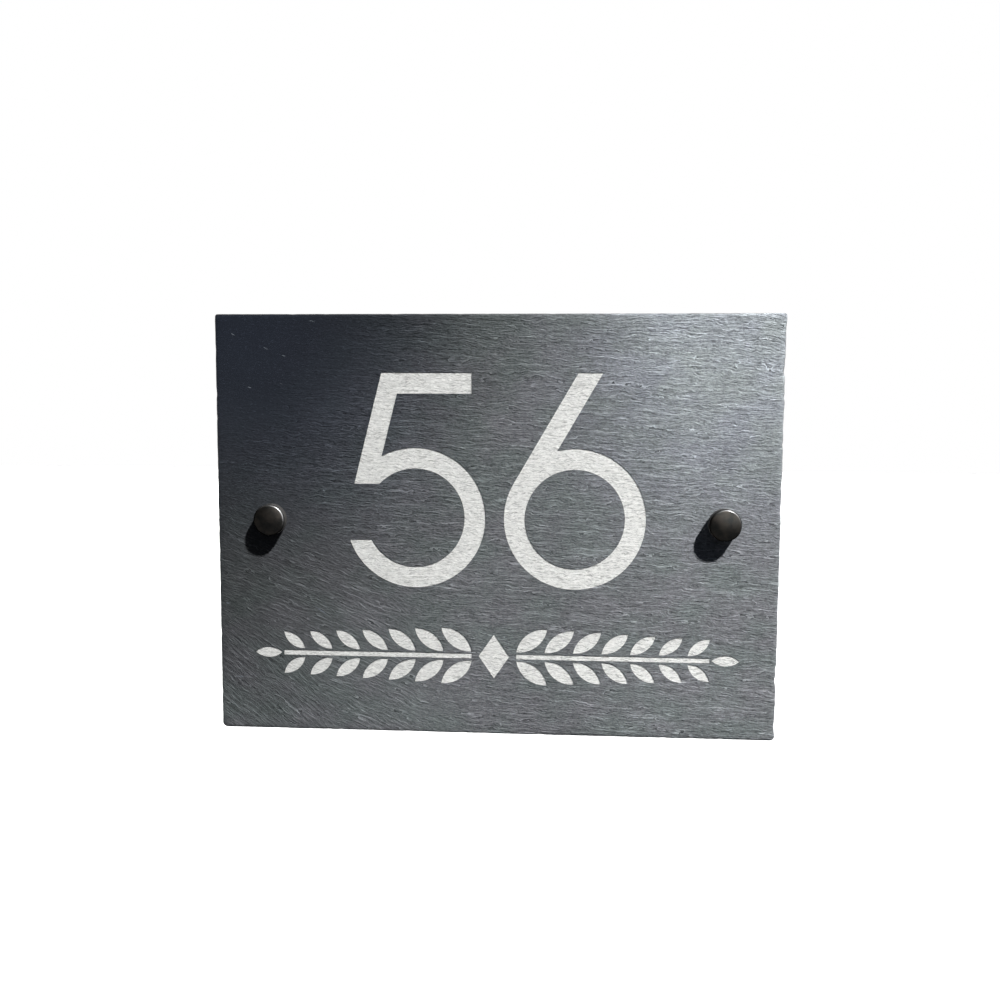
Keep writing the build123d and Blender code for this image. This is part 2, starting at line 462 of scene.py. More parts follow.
# triangles between outlines on the plane of x and z, with how many of the outlines hold each triangle;
# points nearer than the least gap would become one
def fillOutlines(points, loops, leastGap=1e-7):
    rims = [leftTurning(points, loop).tolist() for loop in loops]
    result = delaunay_2d_cdt(points.tolist(), [], rims, 1, leastGap)  # 1: only what the outlines hold
    assert len(result[0]) == len(points), "outlines meet"
    return np.array(result[2]), np.array(list(map(len, result[5])))


# relief of a split face, as depth below the flat: ledges along the grain in three directions, faded into
# each other round the lower left corner, on slow waves; nothing rises above the flat
class SlateFace:
    # lower left and upper right corner, and the axes and radius of the drilled holes
    def __init__(self, form, low, high, fixings, holeRadius):
        self.form = form
        self.low = low
        self.high = high
        self.fixings = fixings
        self.holeRadius = holeRadius

    # places along and across a grain that slopes by an angle
    def alongAcross(self, x, z, slope):
        angle = np.radians(slope)
        return x * np.cos(angle) + z * np.sin(angle), z * np.cos(angle) - x * np.sin(angle)

    # ledges of the level, the sloped and the steep grain, each counted across it: the distance across, bent
    # by noise of three sizes, in pitches
    def ledgeCounts(self, x, z, coarse, seed):
        counts = []
        for slope, pitch in zip(self.form["turns"], self.form["turnPitch"]):
            along, across = self.alongAcross(x, z, slope)
            for start, (length, width, reach) in enumerate(self.form["wander"], seed):
                across = across + reach * rippleNoise(along / length, across / width, start)
            counts.append(across / (self.form["ledgePitch"] * (coarse * pitch)))
            seed += 10  # for the next grain's noises
        return counts

    # height of one ledge, 0 to 1: up gently from its foot to the crest and down steeply, with short dashes
    def ledgeRise(self, x, z, count, slope, seed):
        part = count - np.floor(count)
        crest = self.form["ledgeCrest"]
        length, width, share = self.form["dash"]
        along, across = self.alongAcross(x, z, slope)
        dashes = share * rippleNoise(along / length, across / width, seed)
        return np.minimum(part / crest, (1 - part) / (1 - crest)) + dashes

    # distance from a corner of the face, made uneven by noise
    def fromCorner(self, x, z, corner, wobble):
        size, reach, seed = wobble
        return np.hypot(x - corner[0], z - corner[1]) + reach * rippleNoise(x / size, z / size, seed)

    # shares of the two turned grains, by distance from the lower left corner
    def turned(self, x, z):
        near, mid, far, out = self.form["turnReach"]
        gap = self.fromCorner(x, z, self.low, self.form["turnWobble"])
        corner = 1 - ease(gap, near, mid)
        return (1 - ease(gap, far, out)) * (1 - corner), corner

    # how strong the grain is, by distance from the smooth upper left corner
    def strength(self, x, z):
        least, near, far = self.form["calm"]
        gap = self.fromCorner(x, z, (self.low[0], self.high[1]), self.form["calmWobble"])
        return least + (1 - least) * ease(gap, near, far)

    # how whole the ledges are: they fade out here and there
    def whole(self, x, z):
        length, width, least, seed = self.form["breaks"]
        return least + (1 - least) * ease(rippleNoise(x / length, z / width, seed), *self.form["breakEdge"])

    # distance to the nearer fixing's axis
    def fromFixings(self, x, z):
        return np.min([np.hypot(x - axisX, z - axisZ) for axisX, axisZ in self.fixings], axis=0)

    # 0 on the pads round the fixings, 1 away from them
    def awayFromPads(self, x, z):
        return ease(self.fromFixings(x, z), *self.form["pad"])

    # depth = ledges' height x (1 - how strong x how whole x rise) + waves, nothing on the pads, and a fall
    # near the edge
    def depth(self, x, z, coarse, seed):
        form = self.form
        half, corner = self.turned(x, z)
        weights = (1 - half - corner, half, corner)
        rise = 0
        for weight, count, slope in zip(weights, self.ledgeCounts(x, z, coarse, seed), form["turns"]):
            rise = rise + weight * self.ledgeRise(x / coarse, z / coarse, count, slope, seed + 5)
        length, width = form["waveSize"]
        wave = rippleNoise(x / (length * coarse), z / (width * coarse), seed + 6)
        relief = form["ledgeHeight"] * coarse * (1 - self.strength(x, z) * self.whole(x, z) * rise)
        relief = relief + form["waveHeight"] * coarse * (1 - wave)
        edge = np.min([x - self.low[0], self.high[0] - x, z - self.low[1], self.high[1] - z], axis=0)
        rounded = form["edgeRound"] * np.exp(-np.maximum(edge, 0) / form["edgeRoundReach"])
        return np.maximum(relief, 0) * self.awayFromPads(x, z) + rounded

    # one face on the plane of x and z: outlines first, then a grid between them. Gives its points, each
    # outline's numbers, the triangles outside the drilled holes, and how many outlines hold each of them
    def sheet(self, outlines, grid, inset=0.0):
        step, first, last = np.array(grid[0]), grid[1], grid[2]
        low = self.low + first * step + inset
        high = self.high - last * step - inset
        ends = np.cumsum([len(loop) for loop in outlines])
        loops = [np.arange(end - len(loop), end) for loop, end in zip(outlines, ends)]
        rim = np.concatenate(outlines)
        spots = np.concatenate([rim, gridPoints(low, high, step, rim)])
        triangles, held = fillOutlines(spots, loops)
        solid = self.fromFixings(*spots[triangles].mean(axis=1).T) > self.holeRadius
        return spots, loops, triangles[solid], held[solid]


# from the solid: the engraving's outlines and depth, and the back's outlines, the widest first. A face looks
# straight out where y has nearly all of its normal
def slateOutlines(form, front, back, straight=0.9):
    corners, triangles = solidMesh("slate_plaque")
    first, second, third = corners[triangles].transpose(1, 0, 2)
    normal = np.cross(second - first, third - first)
    facing = normal[:, 1] / np.linalg.norm(normal, axis=1)
    level = (first + second + third)[:, 1] / 3
    floors = (facing < -straight) & (level > front + hair)
    onBack = (facing > straight) & (level > back - hair)
    plan = corners[:, [0, 2]]
    cuts = outlinesRound(triangles[floors])
    engraved = [smoothOutline(plan[loop], form["outlineStep"])[0] for loop in cuts]
    backLoops = [plan[loop] for loop in outlinesRound(triangles[onBack][:, ::-1])]
    backLoops.sort(key=lambda loop: -np.ptp(loop[:, 0]))
    return engraved, level[floors].mean() - front, backLoops


# edge and side: the outline at each depth from the front to the back, set in by the break, a chip that fades
# with depth, and ledges of two sizes
def slateRings(form, face, backLoop, thickness):
    outline, along = smoothOutline(backLoop, form["outlineStep"])
    inward = np.stack([-along[:, 1], along[:, 0]], axis=1)
    run = np.concatenate([[0], np.cumsum(np.linalg.norm(np.diff(outline, axis=0), axis=1))])
    sides = np.maximum(np.column_stack([inward[:, 0], -inward[:, 0], inward[:, 1], -inward[:, 1]]), 0)
    toCorner = np.minimum(outline - face.low, face.high - outline).max(axis=1)
    least, near, far = form["cornerShare"]
    uneven = least + (sides @ np.array(form["edgeShares"]) - least) * ease(toCorner, near, far)
    size, stretch, seed = form["chipSize"]
    chipped = np.maximum(rippleNoise(run / size, run / stretch, seed) - form["chipFrom"], 0)
    depths = np.array([0.0, *form["sideRings"], thickness])
    inset = form["chip"] * uneven * chipped * np.exp(-depths[:, None] / form["chipDepth"])
    for length, width, reach, seed in form["sideLedges"]:
        ledges = (1 + rippleNoise(run[None, :] / length, depths[:, None] / width, seed)) / 2
        inset = inset + reach * uneven * ledges
    inset[0] += form["frontInset"]
    inset[-1] += form["backInset"]
    return outline[None] + inset[:, :, None] * inward[None], depths


# the slate as one closed skin: front with its engraving, broken edge, split side, back and drilled holes
def makeSlate(form, material):
    low, high = solidBox("slate_plaque")
    front, back = low[1], high[1]
    engraved, engravedDepth, backLoops = slateOutlines(form, front, back)
    fixings = [(loop.min(axis=0) + loop.max(axis=0)) / 2 for loop in backLoops[1:]]
    holeRadius = np.ptp(backLoops[1][:, 0]) / 2
    face = SlateFace(form, low[[0, 2]], high[[0, 2]], fixings, holeRadius)
    rings, depths = slateRings(form, face, backLoops[0], back - front)
    ringCount = rings.shape[1]
    turn = evenTurns(form["holeSteps"])
    circle = holeRadius * np.stack([np.cos(turn), np.sin(turn)], axis=1)
    holes = [centre + circle for centre in fixings]

    # front: where the stone is cut, the floor has its own copy of the outline, and a wall joins the two
    outlines = [rings[0], *engraved, *holes]
    spots, loops, triangles, held = face.sheet(outlines, form["frontGrid"], form["frontInset"])
    sunk = held % 2 == 0  # in the rim and one cut outline, but on no island in it
    cutLoops = loops[1 : len(engraved) + 1]
    cutStart, cutEnd = cutLoops[0][0], cutLoops[-1][-1] + 1
    floorCopy = np.arange(len(spots))
    floorCopy[cutStart:cutEnd] = len(spots) + np.arange(cutEnd - cutStart)
    sunkSpots = np.zeros(len(spots), bool)
    sunkSpots[triangles[sunk]] = True
    sunkSpots[:cutEnd] = False
    frontY = front + face.depth(*spots.T, *form["frontSplit"]) + engravedDepth * sunkSpots
    frontPoints = np.column_stack([spots[:, 0], frontY, spots[:, 1]])
    floorPoints = frontPoints[cutStart:cutEnd] + [0, engravedDepth, 0]
    faces = [triangles[~sunk], floorCopy[triangles[sunk]]]
    faces += [bridge(loop, floorCopy[loop])[:, ::-1] for loop in cutLoops]

    # side rings join the front's rim to the back's
    sideStart = len(spots) + len(floorPoints)
    sideY = np.repeat(front + depths[1:, None], ringCount, axis=1)
    sidePoints = np.column_stack([rings[1:, :, 0].ravel(), sideY.ravel(), rings[1:, :, 1].ravel()])
    number = np.vstack([np.arange(ringCount), sideStart + np.arange(len(sidePoints)).reshape(-1, ringCount)])
    faces.append(bridge(number[:-1], number[1:]))

    # back: its rim is the last side ring, and walls join the circles of each hole
    backSpots, backRims, triangles, held = face.sheet([rings[-1], *holes], form["backGrid"])
    backRelief = face.depth(*backSpots.T, *form["backSplit"])
    backRelief[:ringCount] = 0
    backStart = sideStart + len(sidePoints)
    backPoints = np.column_stack([backSpots[:, 0], back - backRelief, backSpots[:, 1]])[ringCount:]
    backNumber = np.concatenate([number[-1], backStart + np.arange(len(backPoints))])
    faces.append(backNumber[triangles][:, ::-1])
    for near, far in zip(loops[len(engraved) + 1 :], backRims[1:]):
        faces.append(bridge(near, backNumber[far])[:, ::-1])

    points = np.concatenate([frontPoints, floorPoints, sidePoints, backPoints])
    used, compact = np.unique(np.concatenate(faces), return_inverse=True)
    pale = np.concatenate([sunkSpots, np.ones(len(floorPoints)), np.zeros(len(points) - sideStart)])
    side = np.zeros(len(points))
    side[sideStart : backStart - ringCount] = 1
    x, z = points[used][:, [0, 2]].T
    half, corner = face.turned(x, z)
    kept = {
        "engraved": pale[used],
        "splitSide": side[used],
        "halfTurned": half,
        "fullyTurned": corner,
        "grainStrength": face.strength(x, z),
        "wholeLedges": face.whole(x, z) * face.awayFromPads(x, z),
        **dict(zip(form["grains"], face.ledgeCounts(x, z, *form["frontSplit"]))),
    }
    piece = makePiece("engravedSlate", points[used], compact.reshape(-1, 3), form["crease"])
    for name, values in kept.items():
        addAttribute(piece, name, values)
    dress(piece, "slate_plaque", material)


slateColours = {
    "tone": 0.149,  # grey of the stone between its left, darkened by painted shade, and its right, paled by painted sheen
    # pairs: at the foot, and how much more at the top
    "leftShadeFall": (1.07, 0.97),  # power of e that painted shade lowers the tone by on the left
    "fallFrom": (-0.42, 0.60),  # where it has fallen fully, as a share of the width
    "fallTo": (0.48, 0.14),
    "rightSheenRise": (0.29, 0.69),  # power of e that painted sheen raises it by on the right
    # shares of the width or height where something starts and where it is full
    "riseUp": (0.28, 1.0),
    "riseAcross": (0.53, 0.88),
    "upperRight": ((0.3, 0.8), (0.45, 0.8)),  # up, and across
    "upperLeft": ((0.35, 1.0), (0.5, 0.05)),
    "hues": ((0.900, 1.0, 1.00, 1), (0.968, 0.988, 1.045, 1)),  # greenish and plum patches
    "upperHues": ((0.920, 1.0, 1.02, 1), (0.93, 0.99, 1.08, 1)),  # to the upper right
    "cool": (0.83, 1.0, 1.42, 1),  # bluer tint for the upper left, where the painted shade is deepest
    "pale": (0.95, 0.95, 0.915),
    "paleFall": 0.34,  # how much greyer the cut stone is at the left
    "paleLine": (0.36, 0.36, 0.35, 1),
    "side": 0.13,
    "mark": (0.13, 0.145, 0.165, 1),
    "roughness": 0.6,
    "paleRoughness": 0.85,
    "bandRoughness": 0.25,
    "gloss": 0.005,
    # patterns, as grain() takes them
    "cloud": ((30.0, 30.0, 20.0), 3.0, 11.0),
    "patches": ((16.0, 16.0, 11.0), 1.0, 13.0, 0.3, 0.7),
    "slowSway": ((8.0, 8.0, 5.0), 1.0, 31.0),
    "quickSway": ((1.7, 1.7, 1.2), 1.0, 37.0),
    "dashes": ((2.4, 2.4, 0.42), 4.0, 3.0),
    "bands": ((8.4, 8.4, 1.47), 4.0, 7.0),
    "veins": ((24.0, 24.0, 0.42), 2.0, 53.0),
    "flecks": ((0.9, 0.9, 0.36), 3.0, 29.0),
    "flakes": ((34.0, 34.0, 4.2), 2.0, 47.0),
    "scratches": ((1.7, 1.7, 0.3), 1.0, 41.0, 0.62, 0.72),
    "layers": ((5.0, 0.4, 5.0), 3.0, 61.0),  # that show on the split side
    "lines": ((2.2, 2.2, 0.24), 1.0, 19.0, 0.47, 0.37),  # dark ones in the cut stone
    "pits": ((0.6, 0.6, 0.36), 1.0, 17.0, 0.60, 0.72),
    "sway": (3.2, 0.9),  # how far the dashes wave, slowly and quickly
    # levels that become 0 and 1 by an S curve
    "veinEdge": (0.57, 0.69),
    "cutEdge": (0.3, 0.7),
    "layerEdge": (0.25, 0.75),
    "markEdge": (1.0, 0.4),
    "markDashes": (0.25, 0.6),
    "lipAndHighlightEdge": (0.19, 0.0),  # on a flake, its pale lip: partly paler broken stone, partly painted highlight
    "footShadeEdge": (0.82, 1.0),  # and its dark foot, a painted shade
    "flakeCount": (0.6, 4.0),  # flakes for one ledge, and how far the noise shifts their count
    "fleckTurn": -6.0,
    "lineTurn": -3.0,
    "scratchTurns": (25.0, -20.0),
    # how much paler or darker each pattern makes the stone
    "cloudTone": 0.3,
    "dashTone": 1.5,
    "bandTone": 0.4,
    "fleckTone": 1.9,
    # painted shade: darker at the ledges' feet, paler at their crests
    "ledgeShadeTone": 0.15,
    # depth of the painted shade at a flake's foot
    "footShadeTone": 0.5,
    "veinTone": (1.1, 0.04),  # and how much more on the turned grain
    "turnedFine": 0.4,  # share of the short dashes that the turned grain lacks
    "scratchTone": 0.014,
    "chalkTones": (0.5, 0.6),  # dashes and flecks in the cut stone
    "cutTones": (0.7, 0.45),  # its lines and pits
    # relief in millimetres, where the mesh is too coarse for it
    "ledgeBump": 0.05,
    "dashBump": (0.32, 0.256),  # dashes and bands
    "fleckBump": 0.17,
    "flakeBump": 0.10,
    "layerBump": 0.25,
    "smoother": 0.7,  # share of the relief that the cut stone and the split side lack
    # scratches and flakes: x, z, slope in degrees, length and width
    "marks": (
        (-93.4, 65.6, -26, 2.0, 0.5),
        (-81.7, 60.8, -28, 2.2, 0.6),
        (-75.2, 58.2, -15, 1.7, 0.5),
        (-87.8, 47.0, -8, 1.8, 0.5),
        (-65.0, 70.2, -10, 2.8, 0.6),
        (-76.2, 48.3, -25, 1.6, 0.4),
        (-97.0, -31.0, -6, 2.2, 0.6),
        (-93.0, -58.1, 0, 4.2, 0.45),
        (-63.0, -33.0, -34, 6.6, 0.5),
        (-37.7, 29.3, -51, 4.6, 0.5),
    ),
}


# patterns of the split stone, which its colour and its relief share
class SlateGrain:
    # what the mesh keeps, the place with a wave up and down of two slower noises, and the patterns on it
    def __init__(self, tree, look):
        self.tree = tree
        self.look = look
        self.place = tree.place()
        self.engraved, self.side, self.half, self.full, self.strength = map(
            tree.kept, ("engraved", "splitSide", "halfTurned", "fullyTurned", "grainStrength")
        )
        self.whole = tree.kept("wholeLedges") * (1 - self.side)
        slow, quick = look["sway"]
        bend = slow * (tree.grain(self.place, look["slowSway"]) - 0.5)
        bend = bend + quick * (tree.grain(self.place, look["quickSway"]) - 0.5)
        sway = tree.node("CombineXYZ", None, {"Z": bend})
        self.wavy = tree.node("VectorMath", {"operation": "ADD"}, {0: self.place, 1: sway})
        self.dashes, self.bands, self.veins = map(self.streaks, ("dashes", "bands", "veins"))
        self.flecks = tree.grain(self.wavy, look["flecks"], look["fleckTurn"])
        self.ledges = self.byShare(map(self.ledge, slateForm["grains"])) * self.whole
        self.flakes = list(map(self.flake, slateForm["grains"], slateForm["turns"]))
        self.layers = tree.grain(self.place, look["layers"])

    # three grains in one: each by its share
    def byShare(self, grains):
        level, sloped, steep = grains
        return level * (1 - self.half - self.full) + sloped * self.half + steep * self.full

    # a pattern in dashes along the grain
    def streaks(self, name):
        pattern = self.look[name]
        return self.byShare([self.tree.grain(self.wavy, pattern, turn) for turn in slateForm["turns"]])

    # a ledge as in the mesh: part / crest up to the crest, (1 - part) / (1 - crest) after it
    def ledge(self, name):
        part = self.tree.maths("FRACT", self.tree.kept(name))
        crest = slateForm["ledgeCrest"]
        return self.tree.maths("MINIMUM", part * (1 / crest), (1 - part) * (1 / (1 - crest)))

    # flakes of one grain, counted across it by the ledges and a noise: 0 at a flake's lip, 1 at the next
    def flake(self, name, turn):
        perLedge, shift = self.look["flakeCount"]
        noise = self.tree.grain(self.wavy, self.look["flakes"], turn)
        return self.tree.maths("FRACT", perLedge * self.tree.kept(name) + shift * noise)

    # 1 where a flake's lip or foot is, by an S curve of the place on the flake
    def flakeEdge(self, name):
        return self.byShare([part.step(*self.look[name]) for part in self.flakes]) * self.whole


# scratched spots: 1 in the middle of each mark's ellipse, 0 outside it
def slateMarks(tree, place, look, front):
    scratched = 0.0
    for x, z, slope, length, width in look["marks"]:
        inMark = tree.node("Mapping", {"vector_type": "TEXTURE"}, {
            "Vector": place,
            "Location": (x, front, z),
            "Rotation": (0, np.radians(-slope), 0),
            "Scale": (length / 2, 1.0, width / 2),
        })
        reach = tree.node("VectorMath", {"operation": "LENGTH"}, {0: inMark}, "Value")
        scratched = scratched + reach.step(*look["markEdge"])
    return scratched


# split stone: tone = middle x e^(rise to the right, a painted sheen, - fall to the left, a painted shade, +
# clouds), times its patterns, in slow hues
def splitStone(tree, look, grain, rightward, upward):
    # foot + more x a share of the height
    def byHeight(name, share):
        foot, more = look[name]
        return foot + more * share

    # 1 in an upper corner, by S curves up and across
    def inCorner(name):
        up, across = look[name]
        return upward.step(*up) * rightward.step(*across)

    # the fall to the left is painted shade and the rise to the right is painted sheen, both standing in for
    # how light falls on the face
    fallen = rightward.step(byHeight("fallTo", upward), byHeight("fallFrom", upward))
    fall = byHeight("leftShadeFall", upward) * fallen
    rise = byHeight("rightSheenRise", upward.step(*look["riseUp"])) * rightward.step(*look["riseAcross"])
    cloud = look["cloudTone"] * (tree.grain(grain.place, look["cloud"]) - 0.5)
    tone = look["tone"] * np.e ** (rise - fall + cloud)
    turned = grain.half + grain.full
    contrast = look["dashTone"] * (grain.dashes - 0.5) + look["bandTone"] * (grain.bands - 0.5)
    # the ledge term is painted shade in the ledges' feet
    contrast = contrast + look["fleckTone"] * (grain.flecks - 0.5) + look["ledgeShadeTone"] * (grain.ledges - 0.3)
    contrast = contrast * (1 - look["turnedFine"] * turned)
    # flakes: pale lips, partly paler broken stone and partly painted highlight, and dark feet of painted
    # shade
    contrast = contrast + grain.flakeEdge("lipAndHighlightEdge") - look["footShadeTone"] * grain.flakeEdge("footShadeEdge")
    level, more = look["veinTone"]
    contrast = contrast + (level + more * turned) * grain.veins.step(*look["veinEdge"])
    crossed = [tree.grain(grain.place, look["scratches"], turn) for turn in look["scratchTurns"]]
    scratches = look["scratchTone"] * tree.maths("MAXIMUM", *crossed)
    patches = tree.grain(grain.place, look["patches"])
    hue = tree.blend(patches, *look["hues"])
    hue = tree.blend(inCorner("upperRight"), hue, tree.blend(patches, *look["upperHues"]))
    hue = tree.blend(inCorner("upperLeft"), hue, look["cool"])
    return tree.scaled(hue, tone * (1 + grain.strength * contrast) + scratches)


# cut stone: greyer to the left, with fine dark lines along the grain and small pits
def cutStone(tree, look, grain, rightward):
    dashTone, fleckTone = look["chalkTones"]
    lineTone, pitTone = look["cutTones"]
    chalk = 1 - look["paleFall"] * (1 - rightward)
    chalk = chalk + dashTone * (grain.dashes - 0.5) + fleckTone * (grain.flecks - 0.5)
    lines = tree.grain(grain.wavy, look["lines"], look["lineTurn"])
    pits = tree.grain(grain.place, look["pits"])
    return tree.blend(lineTone * lines + pitTone * pits, tree.scaled(look["pale"], chalk), look["paleLine"])


# height of the stone's grain in millimetres: its patterns by their shares, less where it is cut or split
def slateRelief(look, grain):
    dash, band = look["dashBump"]
    fine = dash * grain.dashes + band * grain.bands + look["fleckBump"] * grain.flecks
    relief = look["ledgeBump"] * grain.ledges - look["flakeBump"] * grain.byShare(grain.flakes) * grain.whole
    relief = relief + fine * (1 - look["turnedFine"] * (grain.half + grain.full))
    relief = relief * grain.strength * (1 - look["smoother"] * grain.engraved)
    return relief * (1 - look["smoother"] * grain.side) + look["layerBump"] * grain.side * grain.layers


# slate: split stone with scratches and a layered side, and pale stone where it is engraved
def slateFinish(look):
    material, tree = startMaterial("riven slate")
    low, high = solidBox("slate_plaque")
    grain = SlateGrain(tree, look)
    axes = tree.node("SeparateXYZ", None, {0: grain.place}, "X")
    rightward = (axes - float(low[0])) * float(1 / (high[0] - low[0]))
    upward = (axes.also("Z") - float(low[2])) * float(1 / (high[2] - low[2]))
    marks = slateMarks(tree, grain.place, look, float(low[1]))
    stone = splitStone(tree, look, grain, rightward, upward)
    stone = tree.blend(marks * grain.dashes.step(*look["markDashes"]), stone, look["mark"])
    stone = tree.blend(grain.side * grain.layers.step(*look["layerEdge"]), stone, grey(look["side"]))
    cut = cutStone(tree, look, grain, rightward)
    rough = look["roughness"] + (look["paleRoughness"] - look["roughness"]) * grain.engraved
    shade(tree, {
        "Base Color": tree.blend(grain.engraved.step(*look["cutEdge"]), stone, cut),
        "Roughness": rough + look["bandRoughness"] * (grain.bands - 0.5),
        "Specular IOR Level": look["gloss"],
        "Normal": tree.bump(slateRelief(look, grain), 1.0),
    })
    return material


makeSlate(slateForm, slateFinish(slateColours))

# Fixings: turned pieces about an axis along y, at each end of the slate
fixingSides = ("left", "right")


# axis of one fixing, as x and z: the middle of its front washer
def fixingAxis(side):
    low, high = solidBox("front_washer_" + side)
    return ((low + high) / 2)[[0, 2]]


# a broken line of radius and y with more points on its long sides; its corners stay
def fineProfile(corners, step, closed=False):
    corners = np.array(corners, float)
    ends = np.roll(corners, -1, axis=0)
    pieces = np.maximum(np.ceil(np.linalg.norm(ends - corners, axis=1) / step).astype(int), 1)
    if not closed:
        pieces[-1] = 1
    owner, t = alongSides(pieces)
    return corners[owner] * (1 - t) + ends[owner] * t


# a profile's radius and y, each repeated for every step round the axis
def profileRows(profile, steps):
    return [np.repeat(column[:, None], steps, axis=1) for column in profile.T]


# rows of radius and y spun about an axis: (x + r cos a, y, z + r sin a) for even steps of a. Closed rows
# run back into the first; open ones start and end at single points on the axis
def spunSurface(radius, depth, axis, closed):
    rows, steps = radius.shape
    turn = evenTurns(steps)
    points = np.stack([axis[0] + radius * np.cos(turn), depth, axis[1] + radius * np.sin(turn)], axis=-1)
    if closed:
        number = np.arange(rows * steps).reshape(rows, steps)
        number = np.vstack([number, number[:1]])
        points = points.reshape(-1, 3)
    else:
        inner = points[1:-1].reshape(-1, 3)
        number = np.zeros((rows, steps), int)
        number[1:-1] = 1 + np.arange(len(inner)).reshape(rows - 2, steps)
        number[-1] = len(inner) + 1
        points = np.vstack([points[0, :1], inner, points[-1, :1]])
    faces = bridge(number[:-1], number[1:])
    flat = (faces[:, 0] == faces[:, 1]) | (faces[:, 1] == faces[:, 2]) | (faces[:, 2] == faces[:, 0])
    return points, faces[~flat]


# an open surface spun at both fixings, as one mesh: the right one's faces are numbered on from the left's
def spunPair(radius, depth):
    pair = [spunSurface(radius, depth, fixingAxis(side), False) for side in fixingSides]
    (leftPoints, leftFaces), (rightPoints, rightFaces) = pair
    return np.vstack([leftPoints, rightPoints]), np.vstack([leftFaces, rightFaces + len(leftPoints)])


# how far a thread's flank lies under its crest: a triangle wave of y and the turn, one pitch for each turn
def threadDrop(depth, steps, pitch, height):
    turn = np.arange(steps) / steps
    phase = depth[:, None] / pitch - turn[None, :]
    return height * np.abs(2 * (phase - np.floor(phase)) - 1)


capForm = {
    "steps": 96,
    "faceRows": 18,
    "edgeRows": 14,
    "edgeRound": 0.9,  # radius between the side and the face
    "faceSlope": 12.0,  # of the crowned face where it meets that round, degrees
    "footBreak": 0.15,
    "seatStep": 0.8,
    "studRadius": 3.6,
    "studChamfer": 0.7,
    "threadPitch": 1.25,
    "threadHeight": 0.4,
    "rowStep": 0.125,
    "highlightFrom": (0.5, 0.87),  # the side, towards the light, where the edge gets a painted highlight
    "highlightReach": (-0.1, 0.6),  # shares of the radius towards that side where the painted highlight starts and is full
    "mattFade": 0.25,  # share of the edge round over which the blasted side sets in
    "wornFade": 0.75,  # share of it that lies behind the place where the painted highlight is full
    "crease": 32,
}


# cap: a parabola for the crowned face, a round that takes up its slope, a straight side and a threaded stud
def makeCaps(form, material):
    low, high = solidBox("caps")
    top, studEnd = low[1], high[1]
    seat = solidBox("front_washer_left")[0][1]
    left, right = map(fixingAxis, fixingSides)
    radius = high[0] - right[0]
    slope = np.radians(form["faceSlope"])
    edge = form["edgeRound"]
    faceRadius = radius - edge + edge * np.sin(slope)
    rise = faceRadius * np.tan(slope) / 2
    faceR = np.linspace(0, faceRadius, form["faceRows"])
    faceY = top + rise * (faceR / faceRadius) ** 2
    turn = np.linspace(slope, np.pi / 2, form["edgeRows"])[1:]
    edgeMiddle = top + rise + edge * np.cos(slope)
    edgeR = radius - edge + edge * np.sin(turn)
    edgeY = edgeMiddle - edge * np.cos(turn)
    foot = form["footBreak"]
    stud = form["studRadius"]
    chamfer = form["studChamfer"]
    body = fineProfile([(radius, seat - foot), (radius - foot, seat), (stud, seat)], form["seatStep"])
    shankEnds = [(stud, seat), (stud, studEnd - chamfer), (stud - chamfer, studEnd)]
    shank = fineProfile(shankEnds, form["rowStep"])[1:]
    profile = np.concatenate([
        np.column_stack([faceR, faceY]),
        np.column_stack([edgeR, edgeY]),
        body,
        shank,
        [(0, studEnd)],
    ])
    spun, depth = profileRows(profile, form["steps"])
    onShank = slice(-1 - len(shank), -1)
    cut = stud - threadDrop(shank[:, 1], form["steps"], form["threadPitch"], form["threadHeight"])
    spun[onShank] = np.minimum(spun[onShank], cut)
    points, faces = spunPair(spun, depth)
    piece = makePiece("turnedCaps", points, faces, form["crease"])
    y = points[:, 1]
    # a painted highlight on the edge round, strongest on the side towards the light; its share is kept on
    # the mesh
    offset = points[:, [0, 2]] - np.where(points[:, :1] < 0, left, right)
    towardsHighlight = ease(offset @ np.array(form["highlightFrom"]) / radius, *form["highlightReach"])
    matt = ease(y, edgeMiddle - form["mattFade"] * edge, edgeMiddle) * (y < seat + hair)
    atEdge = ease(y, top + rise, edgeMiddle - form["wornFade"] * edge) * (y < edgeMiddle + hair)
    addAttribute(piece, "matt", matt)
    addAttribute(piece, "worn", atEdge * towardsHighlight)
    dress(piece, "caps", material)


washerForm = {
    "steps": 72,
    "round": 0.18,  # of the moulded edges
    "roundSteps": 5,
    "bore": 3.9,
    "crease": 40,
}


# washer: a flat ring whose four edges are quarter rounds
def makeWasher(name, node, side, form, material):
    low, high = solidBox(node)
    outer = (high[0] - low[0]) / 2
    soft = form["round"]
    turn = np.linspace(0, np.pi / 2, form["roundSteps"])
    corners = (
        (outer - soft, low[1] + soft, -np.pi / 2),
        (outer - soft, high[1] - soft, 0),
        (form["bore"] + soft, high[1] - soft, np.pi / 2),
        (form["bore"] + soft, low[1] + soft, np.pi),
    )
    profile = np.concatenate([
        np.column_stack([middleR + soft * np.cos(start + turn), middleY + soft * np.sin(start + turn)])
        for middleR, middleY, start in corners
    ])
    points, faces = spunSurface(*profileRows(profile, form["steps"]), fixingAxis(side), True)
    piece = makePiece(name, points, faces, form["crease"])
    dress(piece, node, material)


barrelForm = {
    "steps": 96,
    "chamfer": 0.4,
    "bore": 3.65,
    "base": 3.0,
    "screwHole": 2.2,
    "rowStep": 1.0,
    "crease": 32,
}


